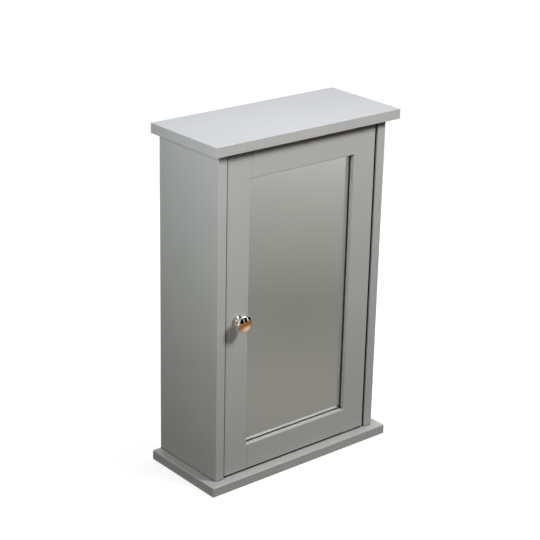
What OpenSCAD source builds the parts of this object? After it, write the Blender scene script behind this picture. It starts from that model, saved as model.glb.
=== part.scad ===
// Wall cabinet with one inset door, whose stile-and-rail frame holds a mirror.
// Millimetres. The front faces -Y, the wall is behind at +Y, and the origin is
// the middle of the plinth board's underside.

/* [Case] */
// Width over the two side panels
case_w = 310; // [290:1:360]
// Depth from the side panels' front edges to the wall
case_d = 136; // [130:1:170]
// Height of the side panels
case_h = 500; // [480:1:560]
// Thickness of the side panels
side_t = 15; // [15:1:18]
// Rounding of the side panels' outer front edges
side_round = 1; // [1:0.5:4]
// Easing of the other long edges
edge_ease = 0.5; // [0.5:0.25:1.5]

/* [Cap and plinth] */
// Thickness of the cap board
cap_t = 15; // [15:1:20]
// Thickness of the plinth board
plinth_t = 15; // [15:1:20]
// How far both boards stand out at each side
board_side = 15; // [8:1:25]
// How far both boards stand out at the front
board_front = 14; // [8:1:25]
// Rounding of the plinth's top edge
plinth_round = 1.5; // [1:0.5:4]

/* [Back and hanging rail] */
// Thickness of the back panel
back_t = 3; // [3:0.5:5]
// Depth of the space behind the back panel, which the hanging rail fills
back_recess = 15; // [12:1:18]
// Depth of the grooves that hold the back panel
groove_depth = 5; // [4:0.5:6]
// How far the back panel stays off the bottom of its grooves
groove_play = 0.5; // [0.3:0.1:0.8]
// Height of the hanging rail
hanging_h = 60; // [50:1:80]
// Diameter of the wall-fixing holes
wall_hole_d = 5; // [4:0.5:6]
// Distance between the two wall-fixing holes
wall_hole_spacing = 160; // [100:1:200]
// Distance of the wall-fixing holes from the cap
wall_hole_drop = 30; // [20:1:38]

/* [Shelves] */
// Thickness of the shelves
shelf_t = 15; // [12:1:18]
// Gap between a shelf's ends and the side panels
shelf_play = 0.8; // [0.5:0.1:1.2]
// Gap between the shelves and the back panel
shelf_back_gap = 1; // [0.5:0.25:3]
// How far the shelves stay behind the door
shelf_setback = 8.5; // [8:0.5:15]
// Height of the lower shelf's underside above the plinth
lower_shelf_z = 168; // [130:1:180]
// Height of the upper shelf's underside above the plinth
upper_shelf_z = 328; // [310:1:340]
// Distance of the pins from the shelves' front and rear edges
peg_inset = 20; // [15:1:25]
// Pitch of the rows of pin holes
row_pitch = 32; // [25:1:40]
// Diameter of the pins in their holes
peg_d = 5; // [4:0.5:6]
// Diameter of the pins under the shelf
peg_stub_d = 7; // [6.5:0.5:9]
// Length of the pins under the shelf
peg_stub_l = 8; // [6:0.5:10]
// Length of the pins in their holes
peg_l = 8.5; // [7:0.5:9.5]
// Depth of the pin holes
peg_hole_depth = 10; // [9.5:0.5:11]

/* [Door frame] */
// Thickness of the door
door_t = 15; // [14.5:0.5:16]
// How far the door's face lies behind the side panels' front edges
door_setback = 1.5; // [0.5:0.25:2]
// Gap between the door and the side panel on the knob side
knob_side_gap = 1.6; // [1:0.1:3]
// Gap between the door and the side panel on the hinge side
hinge_side_gap = 3.8; // [3.4:0.1:4.6]
// Gap between the door and the cap
top_gap = 4; // [3.4:0.1:6]
// Width of the two stiles
stile_w = 40.5; // [40:0.5:50]
// Width of the top rail
top_rail_w = 42; // [40:1:55]
// Width of the bottom rail
bottom_rail_w = 40; // [40:1:55]
// Rounding of the frame's inner front edges
frame_round = 1.25; // [1:0.25:2.5]
// Diameter of the dowels in the frame's corners
frame_dowel_d = 8; // [6:1:8]
// Length of the dowels in the frame's corners
frame_dowel_l = 30; // [24:1:34]
// Distance of the dowels from the frame's opening
frame_dowel_offset = 21.5; // [21:0.5:22]

/* [Mirror] */
// Depth of the mirror's face behind the door's face
reveal = 7.3; // [6:0.1:8]
// Thickness of the mirror
mirror_t = 3; // [3:0.5:4]
// Width of the rebate that holds the mirror
mirror_rebate = 8; // [6:0.5:9]
// Thickness of the backing board
backing_t = 3; // [2.5:0.5:3.5]
// Width of the rebate that holds the backing board
backing_rebate = 16; // [15:0.5:17]
// Gap round the edges of the mirror and its backing board
pane_play = 1; // [0.5:0.1:1.2]
// Diameter of the backing board's screws
backing_screw_d = 2.5; // [1.5:0.5:2.5]
// Length of the backing board's screws
backing_screw_l = 9; // [8:0.5:11]
// Distance of these screws from the rebate's edge
backing_screw_inset = 4; // [3.8:0.1:4.5]

/* [Pivot hinges] */
// Length of the hinge leaves
leaf_l = 36; // [36:1:42]
// Width of the hinge leaves
leaf_w = 10; // [9:0.5:11]
// Thickness of the hinge leaves
leaf_t = 2; // [1.5:0.25:2.5]
// Diameter of the hinge pins
pin_d = 5; // [4:0.5:6]
// Running clearance round the hinge pins
pin_fit = 0.05; // [0.03:0.01:0.08]
// How far the pins reach into the door past its leaves
pin_reach = 6; // [4:0.5:8]
// Outer diameter of the washers
washer_d = 9.6; // [8.5:0.1:11]
// Thickness of the washers
washer_t = 0.8; // [0.5:0.1:1.2]
// Room that the door's inner corner keeps to the side panel as it swings
swing_room = 1; // [0.6:0.1:1.4]
// Diameter of the hinge screws
hinge_screw_d = 3; // [2.5:0.5:3.5]
// Length of the hinge screws
hinge_screw_l = 12; // [10:0.5:13]
// Distance of the first screw from the pin
first_screw = 13; // [12:0.5:14]
// Distance between the two screws of a leaf
screw_pitch = 13; // [11:0.5:13]

/* [Knob] */
// Diameter of the knob's head
knob_d = 26; // [22:0.5:32]
// How far the knob stands out from the door
knob_l = 22.5; // [20:0.5:28]
// Radius of the rim round the knob's head
rim_r = 2.5; // [2:0.25:3]
// Rise of the head's front above its rim's middle
front_rise = 5; // [4:0.25:6]
// Rise of the head's back above its rim's middle
back_rise = 4; // [3.5:0.25:5]
// Diameter of the knob's neck
neck_d = 8.5; // [8:0.5:10]
// Diameter of the knob's foot
foot_d = 16; // [14:0.5:20]
// Thickness of the foot's rim
foot_t = 2; // [1:0.25:3]
// Height of the knob above the door's lower edge
knob_height = 244.5; // [230:0.5:270]
// Diameter of the knob's screw
knob_screw_d = 4; // [3:0.5:5]
// Length of the screw's thread in the knob
knob_thread_l = 10; // [8:0.5:12]

/* [Dowels and cams] */
// Diameter of the case's dowels
dowel_d = 8; // [6:1:8]
// Length of the case's dowels
dowel_l = 30; // [26:1:34]
// Depth of the dowels in the cap and plinth
dowel_in_board = 10; // [8:0.5:12]
// Distance of the front dowels from the side panels' front edges
front_dowel_y = 24; // [18:1:30]
// Distance of the rear dowels from the wall
rear_dowel_y = 32; // [28:1:36]
// Diameter of the cams
cam_d = 15; // [12:1:15]
// Thickness of wood left behind the cams
cam_floor = 2.5; // [2:0.25:3]
// Distance of the cams from the side panels' ends
cam_inset = 24; // [22:1:34]
// Diameter of the cam bolts' thread
bolt_d = 5; // [4:0.5:6]
// Depth of the cam bolts in the cap and plinth
bolt_in_board = 9; // [7:0.5:11]
// Diameter of the hanging rail's dowels
rail_dowel_d = 6; // [5:1:8]
// Length of the hanging rail's dowels
rail_dowel_l = 24; // [18:1:30]
// Depth of these dowels in the side panels
rail_dowel_in_side = 9.5; // [8:0.5:11]
// Radial clearance of dowels, screws and cams in their holes
fit = 0.1; // [0.05:0.01:0.15]

/* [Catch] */
// Width of the catch's housing, out from the side panel
catch_w = 14; // [13:0.5:18]
// Depth of the catch's housing
catch_d = 18; // [16:0.5:24]
// Height of the catch's housing
catch_h = 34; // [30:1:38]
// Height of the catch with its ears
catch_ears_h = 54; // [54:1:60]
// Thickness of the ears
ear_t = 3; // [2.5:0.5:4]
// Thickness of the magnet
magnet_t = 5; // [4:0.5:6]
// Height of the magnet
magnet_h = 26; // [20:1:28]
// Depth of the magnet in the housing
magnet_d = 12; // [10:0.5:14]
// Thickness of the two pole plates
pole_t = 1.5; // [1:0.25:2]
// How far the pole plates stand out from the housing
pole_proud = 0.6; // [0.4:0.1:1]
// Width of the strike plate on the door
strike_w = 9; // [8.5:0.25:9.5]
// Height of the strike plate
strike_h = 44; // [42:1:50]
// Thickness of the strike plate
strike_t = 1.2; // [1:0.1:1.6]
// Diameter of the screws of the catch and the strike plate
catch_screw_d = 3; // [2.5:0.5:3]
// Length of these screws
catch_screw_l = 12; // [10:0.5:14]

/* [Hidden] */
$fn = 64;
// How far a cut runs on past the face it starts from
past = 1;
paint = [0.62, 0.62, 0.60];
wood = [0.80, 0.66, 0.46];
board = [0.62, 0.50, 0.36];
zinc = [0.72, 0.73, 0.75];
nylon = [0.92, 0.92, 0.90];

// Planes of the case
side_x = case_w / 2;
inner_x = side_x - side_t;
wall_y = (case_d + board_front) / 2;
front_y = wall_y - case_d;
back_y = wall_y - back_recess - back_t;
floor_z = plinth_t;
ceiling_z = floor_z + case_h;

// Planes of the door, its opening and the pane behind it
door_x = [-inner_x + knob_side_gap, inner_x - hinge_side_gap];
door_y = [front_y + door_setback, front_y + door_setback + door_t];
door_z = [floor_z + leaf_t + washer_t, ceiling_z - top_gap];
open_x = [door_x[0] + stile_w, door_x[1] - stile_w];
open_z = [door_z[0] + bottom_rail_w, door_z[1] - top_rail_w];
mid_y = (door_y[0] + door_y[1]) / 2;
mirror_y = door_y[0] + reveal;
backing_y = mirror_y + mirror_t;

// The pin stands so far in from the door's edge that the inner corner, which
// swings round it, still clears the side panel by swing_room
slack = hinge_side_gap - swing_room;
pin_x = door_x[1] - (pow(door_t / 2, 2) - pow(slack, 2)) / (2 * slack);

// Knob, catch and strike plate share one height
knob_x = door_x[0] + stile_w / 2;
knob_z = door_z[0] + knob_height;
catch_x = -inner_x + catch_w / 2;
pole_y = door_y[1] + strike_t;
catch_y = pole_y + pole_proud;

shelf_y = [door_y[1] + shelf_setback, back_y - shelf_back_gap];
shelf_zs = [floor_z + lower_shelf_z, floor_z + upper_shelf_z];
peg_ys = [shelf_y[0] + peg_inset, shelf_y[1] - peg_inset];

// Lines of the dowels and cams in the side panels' ends
joint_x = side_x - side_t / 2;
dowel_ys = [front_y + front_dowel_y, wall_y - rear_dowel_y];
cam_y = (dowel_ys[0] + dowel_ys[1]) / 2;
cam_l = side_t - cam_floor;
bolt_neck_d = bolt_d - 0.8;
bolt_head_d = bolt_d + 1.6;
bolt_head_l = 2.6;

// A box between two corners
module block(low, high) {
    translate(low) cube(high - low);
}

// A rectangle from the origin with rounded corners, in the order lower left,
// lower right, upper right, upper left
module eased_rect(size, radii) {
    places = [[0, 0], [size.x, 0], [size.x, size.y], [0, size.y]];
    difference() {
        square(size);
        for (i = [0:3])
            if (radii[i] > 0)
                translate(places[i]) rotate(90 * i) corner_waste(radii[i]);
    }
}

// What a round of radius r takes off a corner at the origin
module corner_waste(r) {
    difference() {
        translate([-past, -past]) square(r + past);
        translate([r, r]) circle(r);
    }
}

// A shape drawn in x and z, carried from y = 0 backwards by depth
module along_y(depth) {
    translate([0, depth, 0]) rotate([90, 0, 0]) linear_extrude(depth) children();
}

// A shape drawn in y and z, carried from x = 0 to the right by width
module along_x(width) {
    rotate([90, 0, 90]) linear_extrude(width) children();
}

module both_sides() {
    children();
    mirror([1, 0, 0]) children();
}

// What is drawn above the joint plane z = 0 goes into the cap and the plinth
module cap_end() {
    translate([0, 0, ceiling_z]) children();
}

module plinth_end() {
    translate([0, 0, floor_z]) mirror([0, 0, 1]) children();
}

module both_ends() {
    cap_end() children();
    plinth_end() children();
}

// A dowel along +Z with chamfered ends
module dowel(d, l) {
    r = d / 2;
    chamfer = d / 8;
    rotate_extrude() polygon([
        [0, 0], [r - chamfer, 0], [r, chamfer], [r, l - chamfer], [r - chamfer, l], [0, l]
    ]);
}

// The hole of a dowel
module dowel_hole(d, l) {
    translate([0, 0, -fit]) cylinder(d = d + 2 * fit, h = l + 2 * fit);
}

// A countersunk screw with a smooth shank, its head's face at the origin and
// its point towards -Z. The hole is the same shape, larger all round.
module screw_form(d, l, grow) {
    r = d / 2;
    head_r = d;
    rim = d / 12;
    rotate_extrude() polygon([
        [0, grow], [head_r + grow, grow], [head_r + grow, -rim],
        [r + grow, -rim - head_r + r], [r + grow, r - l], [0, -l - grow]
    ]);
}

module screw(d, l) {
    difference() {
        screw_form(d, l, 0);
        for (turn = [0, 90])
            rotate(turn) translate([-d / 2, -d / 8, -d / 3]) cube([d, d / 4, d]);
    }
}

module screw_hole(d, l) {
    screw_form(d, l, fit);
}

// Cap and plinth, each a board that stands out over the case on three sides
module wide_board(thickness, top_r) {
    w = case_w + 2 * board_side;
    d = case_d + board_front;
    e = edge_ease;
    translate([-w / 2, -d / 2, 0]) intersection() {
        linear_extrude(thickness) eased_rect([w, d], [e, e, 0, 0]);
        along_y(d) eased_rect([w, thickness], [e, e, top_r, top_r]);
        along_x(w) eased_rect([d, thickness], [e, 0, 0, top_r]);
    }
}

module wide_board_cuts() {
    reach = inner_x + groove_depth;
    dowel_places() dowel_hole(dowel_d, dowel_l);
    bolt_places() cylinder(d = bolt_d + 2 * fit, h = bolt_in_board + fit);
    block([-reach, back_y - fit, -past], [reach, back_y + back_t + fit, groove_depth]);
}

module cap_board() {
    color(paint) difference() {
        cap_end() wide_board(cap_t, edge_ease);
        cap_end() wide_board_cuts();
        case_leaf_screws() screw_hole(hinge_screw_d, hinge_screw_l);
    }
}

module plinth_board() {
    color(paint) difference() {
        wide_board(plinth_t, plinth_round);
        plinth_end() wide_board_cuts();
        case_leaf_screws() screw_hole(hinge_screw_d, hinge_screw_l);
    }
}

// The right side panel, with the cuts that both panels share
module side_panel() {
    difference() {
        translate([inner_x, front_y, floor_z]) linear_extrude(case_h)
            eased_rect([side_t, case_d], [edge_ease, side_round, 0, 0]);
        block(
            [inner_x - past, back_y - fit, floor_z - past],
            [inner_x + groove_depth, back_y + back_t + fit, ceiling_z + past]
        );
        for (step = [-1:1])
            translate([-past, 0, step * row_pitch]) peg_places()
                cylinder(d = peg_d + 2 * fit, h = peg_hole_depth + past);
        both_ends() {
            dowel_places() dowel_hole(dowel_d, dowel_l);
            bolt_places() translate([0, 0, -cam_inset])
                cylinder(d = bolt_head_d + 0.8, h = cam_inset + past);
            cam_place() translate([0, 0, -past])
                cylinder(d = cam_d + 2 * fit, h = cam_l + fit + past);
        }
        rail_dowel_places() dowel_hole(rail_dowel_d, rail_dowel_l);
    }
}

module right_side() {
    color(paint) side_panel();
}

module left_side() {
    color(paint) difference() {
        mirror([1, 0, 0]) side_panel();
        catch_screw_places() screw_hole(catch_screw_d, catch_screw_l);
    }
}

module back_panel() {
    reach = groove_depth - groove_play;
    color(board) difference() {
        block(
            [-inner_x - reach, back_y, floor_z - reach],
            [inner_x + reach, back_y + back_t, ceiling_z + reach]
        );
        wall_holes();
    }
}

module wall_holes() {
    for (x = [-wall_hole_spacing / 2, wall_hole_spacing / 2])
        translate([x, back_y - past, ceiling_z - wall_hole_drop]) rotate([-90, 0, 0])
            cylinder(d = wall_hole_d, h = back_t + back_recess + 2 * past);
}

module hanging_rail() {
    color(wood) difference() {
        block([-inner_x, back_y + back_t, ceiling_z - hanging_h], [inner_x, wall_y, ceiling_z]);
        wall_holes();
        both_sides() rail_dowel_places() dowel_hole(rail_dowel_d, rail_dowel_l);
    }
}

// A shelf with eased front edges
module shelf(z) {
    half_w = inner_x - shelf_play;
    depth = shelf_y[1] - shelf_y[0];
    color(paint) translate([-half_w, shelf_y[0], z]) along_x(2 * half_w)
        eased_rect([depth, shelf_t], [edge_ease, 0, 0, edge_ease]);
}

module lower_shelf() {
    shelf(shelf_zs[0]);
}

module upper_shelf() {
    shelf(shelf_zs[1]);
}

// The right side's pins, along +Z into the panel from its inner face
module peg_places() {
    for (z = shelf_zs, y = peg_ys)
        translate([inner_x, y, z - peg_stub_d / 2]) rotate([0, 90, 0]) children();
}

// Pins whose thicker stubs carry the shelves
module shelf_pins() {
    color(zinc) both_sides() peg_places() {
        cylinder(d = peg_d, h = peg_l);
        translate([0, 0, -peg_stub_l]) cylinder(d = peg_stub_d, h = peg_stub_l);
    }
}

// Dowels and bolts stand upright across the joint plane z = 0
module dowel_places() {
    both_sides() for (y = dowel_ys)
        translate([joint_x, y, dowel_in_board - dowel_l]) children();
}

module bolt_places() {
    both_sides() translate([joint_x, cam_y, 0]) children();
}

// The right side's cam, along +Z into the panel from its inner face
module cam_place() {
    translate([inner_x, cam_y, -cam_inset]) rotate([0, 90, 0]) children();
}

module rail_dowel_places() {
    for (part = [1, 3])
        translate([
            inner_x + rail_dowel_in_side - rail_dowel_l,
            wall_y - back_recess / 2,
            ceiling_z - hanging_h * part / 4
        ]) rotate([0, 90, 0]) children();
}

module case_dowels() {
    color(wood) both_ends() dowel_places() dowel(dowel_d, dowel_l);
}

module rail_dowels() {
    color(wood) both_sides() rail_dowel_places() dowel(rail_dowel_d, rail_dowel_l);
}

// A bolt with a collar against the board, a waist, and a head inside the cam
module cam_bolts() {
    r = bolt_d / 2;
    neck_r = bolt_neck_d / 2;
    head_r = bolt_head_d / 2;
    head_z = -cam_inset - bolt_head_l / 2;
    waist_z = -cam_inset + cam_d / 2;
    color(zinc) both_ends() bolt_places() rotate_extrude() polygon([
        [0, head_z], [head_r, head_z], [head_r, head_z + bolt_head_l],
        [neck_r, head_z + bolt_head_l], [neck_r, waist_z], [head_r, waist_z + 1],
        [head_r, 0], [r, 0], [r, bolt_in_board - 1], [r - 1, bolt_in_board], [0, bolt_in_board]
    ]);
}

// A cam along +Z, its claw open towards -X and the bolt's way in towards -Y
module cam() {
    slot_w = bolt_neck_d + 1;
    pocket_d = bolt_head_d + 0.8;
    bolt_z = side_t / 2;
    cross = [cam_d / 2, 1.4, 1.5];
    difference() {
        cylinder(d = cam_d, h = cam_l);
        translate([0, 0, bolt_z - pocket_d / 2]) cylinder(d = pocket_d, h = pocket_d);
        translate([0, 0, bolt_z]) rotate([90, 0, 0]) cylinder(d = pocket_d, h = cam_d);
        translate([-cam_d, -cam_d, bolt_z - slot_w / 2])
            cube([cam_d, cam_d + slot_w / 2, slot_w]);
        for (turn = [45, 135])
            rotate(turn) translate([-cross.x / 2, -cross.y / 2, -past])
                cube([cross.x, cross.y, cross.z + past]);
    }
}

module cams() {
    color(zinc) both_ends() both_sides() cam_place() cam();
}

// Outline of a hinge leaf with round ends, larger by grow all round
module leaf_outline(grow) {
    r = leaf_w / 2 + grow;
    reach = leaf_l - leaf_w;
    translate([pin_x, mid_y]) {
        circle(r);
        translate([-reach, -r]) square([reach, 2 * r]);
        translate([-reach, 0]) circle(r);
    }
}

// A leaf from plane z upwards, with the bore for its pin
module leaf(z) {
    translate([0, 0, z]) linear_extrude(leaf_t) difference() {
        leaf_outline(0);
        translate([pin_x, mid_y]) circle(d = pin_d + 2 * pin_fit);
    }
}

// Two screws down into a leaf whose face is at z = 0
module leaf_screws() {
    for (i = [0, 1])
        translate([pin_x - first_screw - i * screw_pitch, mid_y, 0]) children();
}

module case_leaf_screws() {
    both_ends() translate([0, 0, -leaf_t]) mirror([0, 0, 1]) leaf_screws() children();
}

module door_leaf_screws() {
    translate([0, 0, door_z[1]]) leaf_screws() children();
    translate([0, 0, door_z[0]]) mirror([0, 0, 1]) leaf_screws() children();
}

module case_leaf(z) {
    color(zinc) difference() {
        leaf(z);
        case_leaf_screws() screw_hole(hinge_screw_d, hinge_screw_l);
    }
}

module upper_case_leaf() {
    case_leaf(ceiling_z - leaf_t);
}

module lower_case_leaf() {
    case_leaf(floor_z);
}

module door_leaf(z) {
    color(zinc) difference() {
        leaf(z);
        door_leaf_screws() screw_hole(hinge_screw_d, hinge_screw_l);
    }
}

module upper_door_leaf() {
    door_leaf(door_z[1] - leaf_t);
}

module lower_door_leaf() {
    door_leaf(door_z[0]);
}

// A pin fixed in the case's leaf, which stands in the door's leaf
module hinge_pin(l) {
    r = pin_d / 2;
    color(zinc) translate([pin_x, mid_y, 0]) rotate_extrude()
        polygon([[0, 0], [r, 0], [r, l - 1], [r - 1, l], [0, l]]);
}

module upper_hinge_pin() {
    translate([0, 0, ceiling_z]) mirror([0, 0, 1]) hinge_pin(top_gap + leaf_t + pin_reach);
}

module lower_hinge_pin() {
    translate([0, 0, floor_z]) hinge_pin(washer_t + 2 * leaf_t + pin_reach);
}

// The lower washer carries the door, the upper one lies on the door's leaf
module hinge_washers() {
    color(nylon) for (z = [door_z[0] - washer_t, door_z[1]])
        translate([pin_x, mid_y, z]) linear_extrude(washer_t) difference() {
            circle(d = washer_d);
            circle(d = pin_d + 2 * fit);
        }
}

module case_hinge_screws() {
    color(zinc) case_leaf_screws() screw(hinge_screw_d, hinge_screw_l);
}

module door_hinge_screws() {
    color(zinc) door_leaf_screws() screw(hinge_screw_d, hinge_screw_l);
}

// Cuts in the door for its leaves, their screws and the pins
module door_hinge_cuts() {
    depth = leaf_t + pin_reach + 2;
    for (z = [door_z[0] - past, door_z[1] - leaf_t])
        translate([0, 0, z]) linear_extrude(leaf_t + past) leaf_outline(fit);
    for (z = [door_z[0], door_z[1] - depth])
        translate([pin_x, mid_y, z]) cylinder(d = pin_d + 1, h = depth);
    door_leaf_screws() screw_hole(hinge_screw_d, hinge_screw_l);
}

// The door's block, its front edges eased all round
module door_block() {
    w = door_x[1] - door_x[0];
    h = door_z[1] - door_z[0];
    e = edge_ease;
    translate([door_x[0], door_y[0], door_z[0]]) intersection() {
        linear_extrude(h) eased_rect([w, door_t], [e, e, 0, 0]);
        along_x(w) eased_rect([door_t, h], [e, 0, 0, e]);
    }
}

// The opening from plane y to past the door's back, larger by grow all round
module opening(y, grow) {
    block(
        [open_x[0] - grow, y, open_z[0] - grow],
        [open_x[1] + grow, door_y[1] + past, open_z[1] + grow]
    );
}

// Section through the opening's rounded front edges, with span across the
// opening and the second axis towards the wall
module rounded_mouth(span) {
    r = frame_round;
    difference() {
        translate([span[0] - r, -past]) square([span[1] - span[0] + 2 * r, r + past]);
        for (u = [span[0] - r, span[1] + r]) translate([u, r]) circle(r);
    }
}

// The opening, its rounded front edges mitred at the corners, and the rebates
module frame_cuts() {
    r = frame_round;
    opening(door_y[0] - past, 0);
    opening(mirror_y, mirror_rebate);
    opening(backing_y, backing_rebate);
    translate([0, door_y[0], 0]) intersection() {
        translate([0, 0, open_z[0] - r])
            linear_extrude(open_z[1] - open_z[0] + 2 * r) rounded_mouth(open_x);
        translate([open_x[1] + r, 0, 0]) rotate([0, -90, 0])
            linear_extrude(open_x[1] - open_x[0] + 2 * r) rounded_mouth(open_z);
    }
}

// One member of the door's frame, between two corners in x and z
module frame_member(low, high) {
    difference() {
        intersection() {
            door_block();
            block([low.x, door_y[0] - past, low.y], [high.x, door_y[1] + past, high.y]);
        }
        frame_cuts();
        frame_dowel_places() dowel_hole(frame_dowel_d, frame_dowel_l);
        backing_screw_places() screw_hole(backing_screw_d, backing_screw_l);
    }
}

module knob_stile() {
    color(paint) difference() {
        frame_member([door_x[0], door_z[0]], [open_x[0], door_z[1]]);
        translate([knob_x, door_y[0] - past, knob_z]) rotate([-90, 0, 0])
            cylinder(d = knob_screw_d + 2 * fit, h = door_t + 2 * past);
        strike_screw_places() screw_hole(catch_screw_d, catch_screw_l);
    }
}

module hinge_stile() {
    color(paint) difference() {
        frame_member([open_x[1], door_z[0]], [door_x[1], door_z[1]]);
        door_hinge_cuts();
    }
}

module top_rail() {
    color(paint) difference() {
        frame_member([open_x[0], open_z[1]], [open_x[1], door_z[1]]);
        door_hinge_cuts();
    }
}

module bottom_rail() {
    color(paint) difference() {
        frame_member([open_x[0], door_z[0]], [open_x[1], open_z[0]]);
        door_hinge_cuts();
    }
}

// Dowels along +Z across the joints between stiles and rails
module frame_dowel_places() {
    for (x = open_x, z = [open_z[0] - frame_dowel_offset, open_z[1] + frame_dowel_offset])
        translate([x - frame_dowel_l / 2, mid_y, z]) rotate([0, 90, 0]) children();
}

module frame_dowels() {
    color(wood) frame_dowel_places() dowel(frame_dowel_d, frame_dowel_l);
}

// A flat pane from plane y backwards, as far past the opening as its rebate lets it
module pane(y, thickness, rebate) {
    grow = rebate - pane_play;
    block(
        [open_x[0] - grow, y, open_z[0] - grow],
        [open_x[1] + grow, y + thickness, open_z[1] + grow]
    );
}

module mirror_pane() {
    color([0.75, 0.80, 0.78]) pane(mirror_y, mirror_t, mirror_rebate);
}

module backing_board() {
    color(board) difference() {
        pane(backing_y, backing_t, backing_rebate);
        backing_screw_places() screw_hole(backing_screw_d, backing_screw_l);
    }
}

// Three screws up each side and two along each end, driven from behind
module backing_screw_places() {
    line = backing_rebate - backing_screw_inset;
    half_w = (open_x[1] - open_x[0]) / 2 + line;
    half_h = (open_z[1] - open_z[0]) / 2 + line;
    places = [
        for (x = [-half_w, half_w], z = [-half_h * 0.8, 0, half_h * 0.8]) [x, z],
        for (x = [-half_w / 2, half_w / 2], z = [-half_h, half_h]) [x, z]
    ];
    for (p = places)
        translate([
            open_x[0] + half_w - line + p.x,
            backing_y + backing_t,
            open_z[0] + half_h - line + p.y
        ]) rotate([-90, 0, 0]) children();
}

module backing_screws() {
    color(zinc) backing_screw_places() screw(backing_screw_d, backing_screw_l);
}

// Half section of the knob's head on one side of its rim's middle. The crown's
// arc meets the rim's circle without a corner.
module crown(rise) {
    core_r = knob_d / 2 - rim_r;
    arc_r = (core_r * core_r / (rise - rim_r) + rise + rim_r) / 2;
    arc_y = rise - arc_r;
    touch = arc_r / (arc_r - rim_r);
    touch_r = core_r * touch;
    touch_y = arc_y - arc_y * touch;
    intersection() {
        translate([0, arc_y]) circle(arc_r);
        polygon([[0, 0], [core_r, 0], [touch_r, touch_y], [touch_r, rise], [0, rise]]);
    }
}

// Half section of the knob, from its axis outwards and from the door's face up
module knob_section() {
    neck_r = neck_d / 2;
    cove_r = foot_d / 2 - neck_r;
    rim_y = knob_l - front_rise;
    square([foot_d / 2, foot_t]);
    square([neck_r, rim_y]);
    translate([neck_r, foot_t]) difference() {
        square(cove_r);
        translate([cove_r, cove_r]) circle(cove_r);
    }
    translate([0, rim_y]) {
        crown(front_rise);
        mirror([0, 1]) crown(back_rise);
        translate([knob_d / 2 - rim_r, 0]) circle(rim_r);
    }
}

module knob() {
    color([0.85, 0.86, 0.88]) translate([knob_x, door_y[0], knob_z]) rotate([90, 0, 0])
        difference() {
            rotate_extrude() knob_section();
            translate([0, 0, -past])
                cylinder(d = knob_screw_d + 2 * fit, h = knob_thread_l + 0.5 + past);
        }
}

// A pan-headed screw from the door's back into the knob
module knob_screw() {
    head_d = knob_screw_d * 2;
    head_t = knob_screw_d * 0.6;
    cross = [head_d * 0.6, 1, head_t / 2];
    color(zinc) translate([knob_x, door_y[1] + head_t, knob_z]) rotate([90, 0, 0])
        difference() {
            union() {
                cylinder(d = head_d, h = head_t);
                cylinder(d = knob_screw_d, h = head_t + door_t + knob_thread_l);
            }
            for (turn = [0, 90])
                rotate(turn) translate([-cross.x / 2, -cross.y / 2, -past])
                    cube([cross.x, cross.y, cross.z + past]);
        }
}

// Screws through the catch's ears into the left side panel
module catch_screw_places() {
    offset = (catch_h + catch_ears_h) / 4;
    for (z = [-offset, offset])
        translate([-inner_x + ear_t, catch_y + catch_d / 2, knob_z + z])
            rotate([0, 90, 0]) children();
}

// Part of the magnet's stack, between two distances from its middle
module stack_layer(low, high, y, grow) {
    block(
        [catch_x + low - grow, y, knob_z - magnet_h / 2 - grow],
        [catch_x + high + grow, catch_y + magnet_d + grow, knob_z + magnet_h / 2 + grow]
    );
}

module catch_housing() {
    half_stack = magnet_t / 2 + pole_t;
    color(nylon) difference() {
        translate([-inner_x, catch_y, knob_z]) {
            translate([0, 0, -catch_h / 2]) linear_extrude(catch_h)
                eased_rect([catch_w, catch_d], [0, edge_ease, edge_ease, 0]);
            translate([0, 0, -catch_ears_h / 2]) cube([ear_t, catch_d, catch_ears_h]);
        }
        stack_layer(-half_stack, half_stack, catch_y - past, fit);
        catch_screw_places() screw_hole(catch_screw_d, catch_screw_l);
    }
}

module catch_magnet() {
    color([0.35, 0.35, 0.35]) stack_layer(-magnet_t / 2, magnet_t / 2, catch_y, 0);
}

module catch_pole_plates() {
    color(zinc) {
        stack_layer(-magnet_t / 2 - pole_t, -magnet_t / 2, pole_y, 0);
        stack_layer(magnet_t / 2, magnet_t / 2 + pole_t, pole_y, 0);
    }
}

module catch_screws() {
    color(zinc) catch_screw_places() screw(catch_screw_d, catch_screw_l);
}

// Screws through the strike plate, above and below the magnet's poles
module strike_screw_places() {
    offset = (strike_h + magnet_h) / 4;
    for (z = [-offset, offset])
        translate([catch_x, pole_y, knob_z + z]) rotate([-90, 0, 0]) children();
}

module strike_plate() {
    color(zinc) difference() {
        block(
            [catch_x - strike_w / 2, door_y[1], knob_z - strike_h / 2],
            [catch_x + strike_w / 2, pole_y, knob_z + strike_h / 2]
        );
        strike_screw_places() screw_hole(catch_screw_d, catch_screw_l);
    }
}

module strike_screws() {
    color(zinc) strike_screw_places() screw(catch_screw_d, catch_screw_l);
}

cap_board();
plinth_board();
left_side();
right_side();
back_panel();
hanging_rail();
lower_shelf();
upper_shelf();
shelf_pins();
case_dowels();
rail_dowels();
cam_bolts();
cams();
upper_case_leaf();
lower_case_leaf();
upper_hinge_pin();
lower_hinge_pin();
hinge_washers();
case_hinge_screws();
catch_housing();
catch_magnet();
catch_pole_plates();
catch_screws();
knob_stile();
hinge_stile();
top_rail();
bottom_rail();
frame_dowels();
mirror_pane();
backing_board();
backing_screws();
upper_door_leaf();
lower_door_leaf();
door_hinge_screws();
knob();
knob_screw();
strike_plate();
strike_screws();
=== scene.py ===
import math

import bpy
from mathutils import Matrix, Vector


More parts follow.
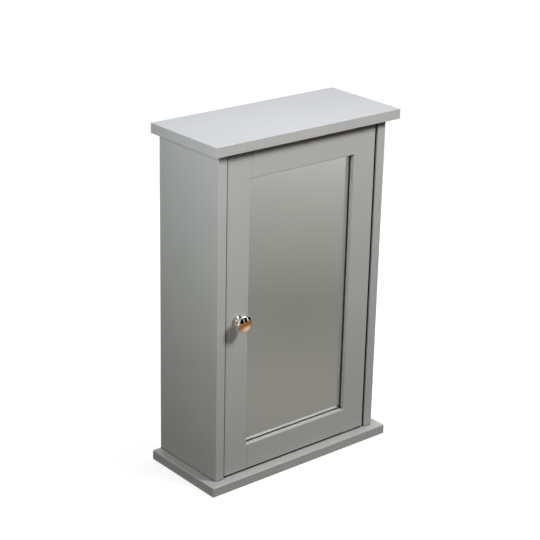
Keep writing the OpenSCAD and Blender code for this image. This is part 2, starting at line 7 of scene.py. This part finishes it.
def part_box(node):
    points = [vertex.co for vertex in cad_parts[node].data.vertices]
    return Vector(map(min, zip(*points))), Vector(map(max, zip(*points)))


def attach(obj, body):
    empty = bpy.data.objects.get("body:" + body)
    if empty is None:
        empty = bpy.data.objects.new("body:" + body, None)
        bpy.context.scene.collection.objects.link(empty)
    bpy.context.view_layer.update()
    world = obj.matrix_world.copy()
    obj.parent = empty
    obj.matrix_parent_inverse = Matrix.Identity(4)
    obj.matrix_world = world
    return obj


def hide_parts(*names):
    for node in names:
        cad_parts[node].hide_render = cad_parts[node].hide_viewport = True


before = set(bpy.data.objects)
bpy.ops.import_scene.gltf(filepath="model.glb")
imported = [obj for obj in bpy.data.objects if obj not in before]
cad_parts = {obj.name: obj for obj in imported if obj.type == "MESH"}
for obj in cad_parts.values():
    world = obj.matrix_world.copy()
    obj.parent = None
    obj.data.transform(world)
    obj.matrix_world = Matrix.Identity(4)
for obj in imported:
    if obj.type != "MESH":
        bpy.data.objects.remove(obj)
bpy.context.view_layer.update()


# Cap, plinth, side panels and shelves: fibreboard with eased edges, sprayed with a
# grey satin paint. It dries to a faint orange peel and lies a little paler in patches
# as wide as a hand. Its colour also carries painted shade, black inside the slots
# round the door and darker in other narrow gaps.
paint_tone = (0.315, 0.315, 0.302)
patch_darkest, patch_palest = 0.975, 1.025
paint_dullness = (0.42, 0.52)
peel_depth = 0.00004
# Painted shade: where an ambient occlusion reading finds other surfaces close by, as in
# the slots round the door, the paint's colour is multiplied down towards this dark tone.
slot_shade_reach, slot_shade_tone = 0.006, (0.08, 0.08, 0.08)
slot_shade_full_at, slot_shade_none_at = 0.40, 0.70


def new_finish(name):
    finish = bpy.data.materials.new(name)
    finish.use_nodes = True
    tree = finish.node_tree
    return finish, tree, tree.nodes["Principled BSDF"]


def feed(tree, socket, value):
    if isinstance(value, bpy.types.NodeSocket):
        tree.links.new(value, socket)
    else:
        socket.default_value = value


def object_noise(tree, scale, detail, stretch=(1, 1, 1)):
    place = tree.nodes.new("ShaderNodeTexCoord")
    stretched = tree.nodes.new("ShaderNodeMapping")
    stretched.inputs["Scale"].default_value = stretch
    noise = tree.nodes.new("ShaderNodeTexNoise")
    noise.inputs["Scale"].default_value = scale
    noise.inputs["Detail"].default_value = detail
    tree.links.new(place.outputs["Object"], stretched.inputs["Vector"])
    tree.links.new(stretched.outputs["Vector"], noise.inputs["Vector"])
    return noise.outputs["Fac"]


def two_tones(tree, factor, low, high, start=0.3, end=0.7, between=None):
    ramp = tree.nodes.new("ShaderNodeValToRGB")
    stops = ramp.color_ramp.elements
    stops[0].position = start
    stops[0].color = (*low, 1)
    stops[1].position = end
    stops[1].color = (*high, 1)
    if between:
        position, tone = between
        stops.new(position).color = (*tone, 1)
    tree.links.new(factor, ramp.inputs["Fac"])
    return ramp.outputs["Color"]


def remap(tree, value, low, high, start=0, end=1):
    span = tree.nodes.new("ShaderNodeMapRange")
    span.inputs["From Min"].default_value = start
    span.inputs["From Max"].default_value = end
    span.inputs["To Min"].default_value = low
    span.inputs["To Max"].default_value = high
    tree.links.new(value, span.inputs["Value"])
    return span.outputs["Result"]


def mix_tones(tree, factor, first, second, way="MIX"):
    mix = tree.nodes.new("ShaderNodeMix")
    mix.data_type = "RGBA"
    mix.blend_type = way
    feed(tree, mix.inputs["Factor"], factor)
    feed(tree, mix.inputs["A"], first)
    feed(tree, mix.inputs["B"], second)
    return mix.outputs["Result"]


def scaled(tone, by):
    return [channel * by for channel in tone]


def rough_surface(tree, shader, height, depth, strength):
    bump = tree.nodes.new("ShaderNodeBump")
    bump.inputs["Distance"].default_value = depth
    bump.inputs["Strength"].default_value = strength
    tree.links.new(height, bump.inputs["Height"])
    tree.links.new(bump.outputs["Normal"], shader.inputs["Normal"])


# Painted shade, not a mark on the paint: the base colour is multiplied darker where
# ambient occlusion finds surfaces close, in slots, gaps and inner corners.
def painted_slot_shade(tree, colour):
    occlusion = tree.nodes.new("ShaderNodeAmbientOcclusion")
    occlusion.samples = 12
    occlusion.inputs["Distance"].default_value = slot_shade_reach
    # This factor is the painted shade: dark in the slots, white in the open.
    light = two_tones(
        tree, occlusion.outputs["AO"], slot_shade_tone, (1, 1, 1), slot_shade_full_at, slot_shade_none_at
    )
    return mix_tones(tree, 1, colour, light, "MULTIPLY")


def satin_paint_with_slot_shade(name, mark=None):
    finish, tree, shader = new_finish(name)
    patches = object_noise(tree, scale=9, detail=3)
    colour = two_tones(
        tree, patches,
        scaled(paint_tone, patch_darkest), scaled(paint_tone, patch_palest),
    )
    if mark:
        colour = mark(tree, colour)
    # The base colour gets the painted slot shade on top of the paint's own tone.
    tree.links.new(painted_slot_shade(tree, colour), shader.inputs["Base Color"])
    tree.links.new(remap(tree, patches, *paint_dullness), shader.inputs["Roughness"])
    peel = object_noise(tree, scale=650, detail=2)
    rough_surface(tree, shader, peel, peel_depth, strength=0.5)
    return finish


def finish_nodes(material, *names):
    for name in names:
        cad_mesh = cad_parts[name].data
        cad_mesh.materials.clear()
        cad_mesh.materials.append(material)


case_paint_with_slot_shade = satin_paint_with_slot_shade("case_paint_with_slot_shade")
finish_nodes(case_paint_with_slot_shade, "cap_board", "plinth_board", "left_side", "right_side")
finish_nodes(case_paint_with_slot_shade, "lower_shelf", "upper_shelf")


# Back panel and the mirror's backing board: thin hardboard, the one slid into
# grooves and the other screwed into the door's rebate. The face seen with the door
# open is painted, and the other is left brown, with its fibres showing.
hardboard_dark, hardboard_pale = (0.17, 0.095, 0.048), (0.30, 0.18, 0.095)
hardboard_dullness, fibre_depth = 0.6, 0.0001
front_half, rear_half = "LESS_THAN", "GREATER_THAN"


def object_axes(tree):
    place = tree.nodes.new("ShaderNodeTexCoord")
    axes = tree.nodes.new("ShaderNodeSeparateXYZ")
    tree.links.new(place.outputs["Object"], axes.inputs["Vector"])
    return axes.outputs


def maths(tree, operation, *values):
    step = tree.nodes.new("ShaderNodeMath")
    step.operation = operation
    for socket, value in zip(step.inputs, values):
        feed(tree, socket, value)
    return step.outputs["Value"]


def half_painted_board(name, node, painted_half):
    finish, tree, shader = new_finish(name)
    fibre = object_noise(tree, scale=260, detail=6, stretch=(1, 1, 1.6))
    brown = two_tones(tree, fibre, hardboard_dark, hardboard_pale)
    low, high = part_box(node)
    middle_y = (low.y + high.y) / 2
    painted = maths(tree, painted_half, object_axes(tree)["Y"], middle_y)
    colour = mix_tones(tree, painted, brown, (*paint_tone, 1))
    tree.links.new(colour, shader.inputs["Base Color"])
    shader.inputs["Roughness"].default_value = hardboard_dullness
    rough_surface(tree, shader, fibre, fibre_depth, strength=0.5)
    finish_nodes(finish, node)


half_painted_board("back_hardboard", "back_panel", front_half)
half_painted_board("door_hardboard", "backing_board", rear_half)


# Hanging rail and dowels: planed beech, its grain along the length, with short dark
# flecks. The rail is doweled and glued between the side panels, behind the back.
beech_dark, beech_pale = (0.42, 0.25, 0.12), (0.62, 0.42, 0.24)
beech_dullness, grain_depth = 0.55, 0.0001
along, across = 0.12, 2


def beech(name, stretch):
    finish, tree, shader = new_finish(name)
    grain = object_noise(tree, scale=30, detail=8, stretch=stretch)
    tone = two_tones(tree, grain, beech_dark, beech_pale)
    tree.links.new(tone, shader.inputs["Base Color"])
    shader.inputs["Roughness"].default_value = beech_dullness
    rough_surface(tree, shader, grain, grain_depth, strength=0.4)
    return finish


finish_nodes(
    beech("beech_along_x", (along, across, across)),
    "hanging_rail", "rail_dowels", "frame_dowels",
)
finish_nodes(beech("beech_along_z", (across, across, along)), "case_dowels")


# Hinge leaves, pins, screws, bolts, shelf pins and catch plates: steel, plated with
# zinc to a dull shine with fine drawing marks. The cams are die-cast zinc, greyer
# and more matt.
darkest_mark, palest_mark = 0.9, 1.08
shinier_mark, duller_mark = -0.06, 0.08


def zinc_plate(name, tone, dullness):
    finish, tree, shader = new_finish(name)
    drawn = object_noise(tree, scale=900, detail=3, stretch=(1, 1, 0.2))
    shade = two_tones(
        tree, drawn, scaled(tone, darkest_mark), scaled(tone, palest_mark)
    )
    tree.links.new(shade, shader.inputs["Base Color"])
    dull = remap(tree, drawn, dullness + shinier_mark, dullness + duller_mark)
    tree.links.new(dull, shader.inputs["Roughness"])
    shader.inputs["Metallic"].default_value = 1
    return finish


finish_nodes(
    zinc_plate("plated_steel", tone=(0.62, 0.63, 0.65), dullness=0.3),
    "upper_case_leaf", "lower_case_leaf", "upper_door_leaf", "lower_door_leaf",
    "upper_hinge_pin", "lower_hinge_pin", "case_hinge_screws", "door_hinge_screws",
    "catch_screws", "strike_screws", "strike_plate", "catch_pole_plates",
    "backing_screws", "knob_screw", "shelf_pins", "cam_bolts",
)
finish_nodes(zinc_plate("cast_zinc", tone=(0.48, 0.49, 0.51), dullness=0.42), "cams")


# Catch housing, catch magnet and hinge washers: the housing and the washers are
# white nylon, moulded matt from the tool. The magnet is black sintered ferrite,
# held in the housing.
mould_depth = 0.00003


def moulded(name, tone, dullness):
    finish, tree, shader = new_finish(name)
    grain = object_noise(tree, scale=1400, detail=2)
    shade = two_tones(tree, grain, scaled(tone, 0.96), tone)
    tree.links.new(shade, shader.inputs["Base Color"])
    shader.inputs["Roughness"].default_value = dullness
    rough_surface(tree, shader, grain, mould_depth, strength=0.5)
    return finish


finish_nodes(
    moulded("white_nylon", tone=(0.78, 0.78, 0.75), dullness=0.45),
    "catch_housing", "hinge_washers",
)
finish_nodes(moulded("ferrite", tone=(0.06, 0.06, 0.065), dullness=0.6), "catch_magnet")


# Door frame: two stiles and two rails of the same painted fibreboard, doweled and
# glued. The rails' ends beside the knob stile show as a hairline in the paint.
hairline_tone = (0.17, 0.17, 0.16, 1)
hairline_past_stile, hairline_half_width = 0.0025, 0.0003


def rail_end_hairline(tree, paint):
    hairline_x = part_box("knob_stile")[1].x + hairline_past_stile
    x = object_axes(tree)["X"]
    crack = maths(tree, "COMPARE", x, hairline_x, hairline_half_width)
    return mix_tones(tree, crack, paint, hairline_tone)


finish_nodes(case_paint_with_slot_shade, "knob_stile", "hinge_stile")
finish_nodes(satin_paint_with_slot_shade("rail_paint_with_slot_shade", rail_end_hairline), "top_rail", "bottom_rail")


# Mirror: a 3 mm pane of float glass with ground arrises, silvered on its back, so
# the frame's edge shows first as itself and then, past the glass, as its image.
# It lies in the frame's rebate, with the backing board behind it.
clear_of_rebate, arris_width = 0.0001, 0.0004
glass_ior = 1.52
film_dullness = (0.0, 0.02)
glass_tints = (0.965, 0.975, 0.968), (0.975, 0.983, 0.977)
silver_tones = (0.86, 0.87, 0.85), (0.90, 0.905, 0.89)


def leave_cad():
    bpy.ops.object.select_all(action="DESELECT")


def set_in_place():
    bpy.ops.object.transform_apply(location=True, rotation=True, scale=True)


low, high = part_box("mirror_pane")
low.y += clear_of_rebate
high.y -= clear_of_rebate
leave_cad()
bpy.ops.mesh.primitive_cube_add(size=1, location=(low + high) / 2)
mirror = bpy.context.object
mirror.name = "mirror_glass"
mirror.scale = high - low
set_in_place()
arris = mirror.modifiers.new("arris", "BEVEL")
arris.width = arris_width
arris.segments = 2
bpy.ops.object.modifier_apply(modifier=arris.name)

glass, tree, shader = new_finish("float_glass")
shader.inputs["Transmission Weight"].default_value = 1
shader.inputs["IOR"].default_value = glass_ior
smudge = object_noise(tree, scale=14, detail=4)
tree.links.new(remap(tree, smudge, *film_dullness), shader.inputs["Roughness"])
tree.links.new(two_tones(tree, smudge, *glass_tints), shader.inputs["Base Color"])

silver, tree, shader = new_finish("silvering")
shader.inputs["Metallic"].default_value = 1
shader.inputs["Roughness"].default_value = 0.0
haze = object_noise(tree, scale=6, detail=2)
tree.links.new(two_tones(tree, haze, *silver_tones), shader.inputs["Base Color"])

mirror.data.materials.append(glass)
mirror.data.materials.append(silver)
for face in mirror.data.polygons:
    at_the_back = face.normal.y > 0.99
    face.material_index = 1 if at_the_back else 0
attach(mirror, "door")
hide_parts("mirror_pane")


# Knob: a metal turning plated with polished chrome. A domed head with a rounded
# rim, a plain neck, and a cove down to a round foot that sits on the stile, held
# by a screw through it.
low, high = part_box("knob")
knob_x, knob_z = (low.x + high.x) / 2, (low.z + high.z) / 2
door_face, head_r = high.y, (high.x - low.x) / 2
foot_r, foot_t, neck_r, rim_r = 0.008, 0.002, 0.00425, 0.0025
front_rise, back_rise = 0.005, 0.004
rim_out = door_face - low.y - front_rise
cove_r, core_r = foot_r - neck_r, head_r - rim_r
clear_of_neck = neck_r * 1.08
round_steps, crown_steps, cove_steps, rim_steps = 96, 14, 8, 16
same_radius, crease_angle = 1e-7, math.radians(35)
chrome_tones = (0.80, 0.80, 0.80), (0.88, 0.88, 0.88)
chrome_dullness = (0.02, 0.06)


def crown_arc(rise):
    arc_r = (core_r ** 2 / (rise - rim_r) + rise + rim_r) / 2
    widest = math.asin(core_r / (arc_r - rim_r))
    points = []
    for step in range(crown_steps + 1):
        turn = widest * (1 - step / crown_steps)
        points.append((arc_r * math.sin(turn), rise - arc_r + arc_r * math.cos(turn)))
    return points, widest


front_crown, front_turn = crown_arc(front_rise)
back_crown, back_turn = crown_arc(back_rise)
outline = [(foot_r, 0.0), (foot_r, foot_t)]
for step in range(cove_steps + 1):
    turn = math.pi / 2 * step / cove_steps
    radius, out = foot_r - cove_r * math.sin(turn), cove_r * (1 - math.cos(turn))
    outline.append((radius, foot_t + out))
for radius, rise in reversed(back_crown):
    if radius > clear_of_neck:
        outline.append((radius, rim_out - rise))
for step in range(1, rim_steps):
    turn = (math.pi - back_turn) * (1 - step / rim_steps) + front_turn * step / rim_steps
    outline.append((core_r + rim_r * math.sin(turn), rim_out + rim_r * math.cos(turn)))
for radius, rise in front_crown[:-1]:
    outline.append((radius, rim_out + rise))

leave_cad()
bpy.ops.mesh.primitive_circle_add(
    vertices=round_steps, radius=foot_r, fill_type="NGON",
    location=(knob_x, door_face, knob_z), rotation=(math.pi / 2, 0, 0),
)
knob = bpy.context.object
knob.name = "chrome_knob"
set_in_place()
bpy.ops.object.mode_set(mode="EDIT")
for (radius, out), (next_radius, next_out) in zip(outline, outline[1:]):
    bpy.ops.mesh.extrude_region_move(
        TRANSFORM_OT_translate={"value": (0, out - next_out, 0)}
    )
    if abs(next_radius - radius) > same_radius:
        grow = next_radius / radius
        middle = (knob_x, door_face - next_out, knob_z)
        bpy.ops.transform.resize(value=(grow, 1, grow), center_override=middle)
bpy.ops.mesh.merge(type="CENTER")
bpy.ops.mesh.select_all(action="SELECT")
bpy.ops.mesh.remove_doubles(threshold=0.000001)
bpy.ops.mesh.normals_make_consistent(inside=False)
bpy.ops.object.mode_set(mode="OBJECT")
bpy.ops.object.shade_smooth_by_angle(angle=crease_angle)

chrome, tree, shader = new_finish("polished_chrome")
shader.inputs["Metallic"].default_value = 1
wear = object_noise(tree, scale=320, detail=5)
tree.links.new(remap(tree, wear, *chrome_dullness), shader.inputs["Roughness"])
tree.links.new(two_tones(tree, wear, *chrome_tones), shader.inputs["Base Color"])
knob.data.materials.append(chrome)
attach(knob, "door")
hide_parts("knob")


# Camera, where the photograph was taken from. Its place and turn were solved from
# the edges of the case, and its shift is half a pixel either way.
scene = bpy.context.scene
scene.view_settings.view_transform = "Standard"
picture_px, right_px, up_px = 540, -0.47, 0.52
camera_place = (-1.39941, -1.65500, 1.13751)
to_right = (0.77060457, -0.63695795, 0.02128758)
to_top = (0.2163389, 0.29285786, 0.93136016)
to_back = (-0.59947149, -0.71310507, 0.36347639)

lens = bpy.data.cameras.new("camera")
lens.lens = 104.41
lens.sensor_width = 36
lens.shift_x = right_px / picture_px
lens.shift_y = up_px / picture_px
camera = bpy.data.objects.new("camera", lens)
scene.collection.objects.link(camera)
camera_turn = Matrix((to_right, to_top, to_back)).transposed()
camera.matrix_world = Matrix.Translation(camera_place) @ camera_turn.to_4x4()
scene.camera = camera


# Studio air: plain white to the camera, in metal and through glass. As a light on
# the cabinet it is very weak.
air_tone, air_strength = (0.96, 0.98, 1.0, 1), 0.02


def seen_white(tree):
    path = tree.nodes.new("ShaderNodeLightPath").outputs
    seen = maths(tree, "MAXIMUM", path["Is Camera Ray"], path["Is Glossy Ray"])
    return maths(tree, "MAXIMUM", seen, path["Is Transmission Ray"])


def mix_shaders(tree, factor, first, second):
    mix = tree.nodes.new("ShaderNodeMixShader")
    tree.links.new(factor, mix.inputs["Fac"])
    tree.links.new(first, mix.inputs[1])
    tree.links.new(second, mix.inputs[2])
    return mix.outputs["Shader"]


world = bpy.data.worlds.new("studio_air")
world.use_nodes = True
scene.world = world
tree = world.node_tree
air = tree.nodes["Background"]
air.inputs["Color"].default_value = air_tone
air.inputs["Strength"].default_value = air_strength
white = tree.nodes.new("ShaderNodeBackground")
white.inputs["Color"].default_value = (1, 1, 1, 1)
white.inputs["Strength"].default_value = 1
all_air = mix_shaders(
    tree, seen_white(tree), air.outputs["Background"], white.outputs["Background"]
)
tree.links.new(all_air, tree.nodes["World Output"].inputs["Surface"])


# Floor: a wide white sweep, matt, with a soft grey round the cabinet's foot. It
# shows the cabinet's shadow, and sends back less light than it shows, so that the
# foot stays as dark as it is in the photograph.
floor_size, floor_dullness = 12, 0.9
lit_tone, sent_back_tone = (0.22, 0.22, 0.22, 1), (0.10, 0.10, 0.10, 1)
sweep_reach, sweep_start = 2, 0.12
sweep_near, sweep_middle, sweep_far = (0.8, 0.8, 0.8), (0.93, 0.93, 0.93), (1, 1, 1)


def plane(name, size, centre, turn=(0, 0, 0)):
    leave_cad()
    bpy.ops.mesh.primitive_plane_add(
        size=1, location=centre, rotation=[math.radians(angle) for angle in turn]
    )
    sheet = bpy.context.object
    sheet.name = name
    sheet.scale = (*size, 1)
    set_in_place()
    return sheet


def distance_from(tree, centre):
    place = tree.nodes.new("ShaderNodeTexCoord")
    away = tree.nodes.new("ShaderNodeVectorMath")
    away.operation = "DISTANCE"
    away.inputs[1].default_value = centre
    tree.links.new(place.outputs["Object"], away.inputs[0])
    return away.outputs["Value"]


floor = plane("floor", (floor_size, floor_size), (0, 0, 0))
sweep, tree, shader = new_finish("white_sweep")
bounced = tree.nodes.new("ShaderNodeLightPath").outputs["Is Diffuse Ray"]
cast = mix_tones(tree, bounced, lit_tone, sent_back_tone)
tree.links.new(cast, shader.inputs["Base Color"])
shader.inputs["Roughness"].default_value = floor_dullness
shader.inputs["Specular IOR Level"].default_value = 0.0
reach = remap(tree, distance_from(tree, (0, 0, 0)), 0, 1, end=sweep_reach)
paler = two_tones(
    tree, reach, sweep_near, sweep_far, sweep_start, 1, between=(0.5, sweep_middle)
)
glow = tree.nodes.new("ShaderNodeEmission")
tree.links.new(paler, glow.inputs["Color"])
tree.links.new(seen_white(tree), glow.inputs["Strength"])
lit = tree.nodes.new("ShaderNodeAddShader")
tree.links.new(shader.outputs["BSDF"], lit.inputs[0])
tree.links.new(glow.outputs["Emission"], lit.inputs[1])
tree.links.new(lit.outputs["Shader"], tree.nodes["Material Output"].inputs["Surface"])
floor.data.materials.append(sweep)


# Reflection card: a sheet just above the floor that shows in reflections alone. It
# is grey for the mirror, paler further out, and on its right part warm for the bare
# metal of the knob.
card_size, card_height, card_reach = 6, 0.003, 2.8
grey_start, grey_near, grey_far = 0.24, (0.262, 0.268, 0.256), (1, 1, 1)
grey_middle = (0.435, 0.438, 0.425)
warm_centre, warm_start, warm_end = (0.13, -0.24, 0), 0.03, 0.3
warm_pale, warm_deep = (0.80, 0.56, 0.36), (0.30, 0.135, 0.05)
warm_from_x, warm_full_x = -0.38, -0.28


def seen_by_metal_alone(tree):
    path = tree.nodes.new("ShaderNodeLightPath").outputs
    bare = maths(tree, "SUBTRACT", path["Is Glossy Ray"], path["Is Transmission Ray"])
    bare.node.use_clamp = True
    return bare


def show_in_reflections_alone(sheet):
    sheet.visible_camera = False
    sheet.visible_diffuse = False
    sheet.visible_shadow = False


card = plane("reflection_card", (card_size, card_size), (0, 0, card_height))
grey_card, tree, shader = new_finish("grey_card")
tree.nodes.remove(shader)
reach = remap(tree, distance_from(tree, (0, 0, 0)), 0, 1, end=card_reach)
fade = two_tones(
    tree, reach, grey_near, grey_far, grey_start, 1, between=(0.45, grey_middle)
)
aside = distance_from(tree, warm_centre)
sheen = two_tones(tree, aside, warm_pale, warm_deep, warm_start, warm_end)
right_part = remap(tree, object_axes(tree)["X"], 0, 1, warm_from_x, warm_full_x)
where = maths(tree, "MULTIPLY", seen_by_metal_alone(tree), right_part)
tone = tree.nodes.new("ShaderNodeEmission")
tree.links.new(mix_tones(tree, where, fade, sheen), tone.inputs["Color"])
card_surface = tree.nodes["Material Output"].inputs["Surface"]
tree.links.new(tone.outputs["Emission"], card_surface)
grey_card.cycles.emission_sampling = "NONE"
card.data.materials.append(grey_card)
show_in_reflections_alone(card)


# Black flags: six sheets of matt black hung round the cabinet, which only bare metal
# reflects. They give the chrome its dark bands, and the mirror doesn't see them.
flag_tone = (0.01, 0.01, 0.01, 1)
flags = (
    ("flag_left", (-0.1, -2.2, 1.1), (1.2, 2.2), (90, 0, 0)),
    ("flag_middle", (1.25, -2.2, 0.65), (1.2, 1.3), (90, 0, 0)),
    ("flag_right", (2.5, -0.9, 1.3), (2.6, 2.6), (90, 0, 90)),
    ("flag_side", (-1.6, -2.0, 1.1), (1.2, 2.2), (90, 0, -40)),
    ("flag_over_right", (1.8, -0.9, 2.3), (1.5, 2.6), (0, 0, 0)),
    ("flag_over_left", (-1.2, -1.2, 2.0), (1.1, 2.2), (0, 0, 0)),
)

black_flag, tree, shader = new_finish("black_flag")
shader.inputs["Base Color"].default_value = flag_tone
shader.inputs["Specular IOR Level"].default_value = 0
clear = tree.nodes.new("ShaderNodeBsdfTransparent")
hung = mix_shaders(
    tree, seen_by_metal_alone(tree), clear.outputs["BSDF"], shader.outputs["BSDF"]
)
tree.links.new(hung, tree.nodes["Material Output"].inputs["Surface"])
for name, centre, size, turn in flags:
    flag = plane(name, size, centre, turn)
    flag.data.materials.append(black_flag)
    show_in_reflections_alone(flag)


# Lamps: one soft key lamp high on the front right, a bluish one overhead, and fills
# on the left, the right and the back. No reflection shows the fills.
def lamp(name, place, aim, size, power, colour, mirrored=True):
    light = bpy.data.lights.new(name, "AREA")
    light.shape = "DISK"
    light.size = size
    light.energy = power
    light.color = colour
    stand = bpy.data.objects.new(name, light)
    stand.visible_camera = False
    stand.visible_glossy = mirrored
    scene.collection.objects.link(stand)
    direction = Vector(aim) - Vector(place)
    turn = direction.to_track_quat("-Z", "Y").to_matrix().to_4x4()
    stand.matrix_world = Matrix.Translation(place) @ turn


lamp("key_lamp", (0.50, -0.97, 1.34), (0, 0, 0.34), 0.4, 25.9, (0.98, 0.99, 1))
lamp("top_lamp", (0.0, 0.0, 1.15), (0, 0, 0.3), 0.3, 4.1, (0.82, 0.835, 1))
lamp("left_lamp", (-0.74, -0.31, 0.76), (-0.05, 0, 0.30), 0.3, 6.7, (0.95, 0.99, 1), False)
lamp("right_lamp", (1.1, 0.35, 0.42), (0.17, 0, 0.27), 0.5, 7, (1, 1, 1), False)
lamp("back_lamp", (0.25, 1.15, 0.42), (0, 0.1, 0.27), 0.6, 9, (1, 1, 1), False)
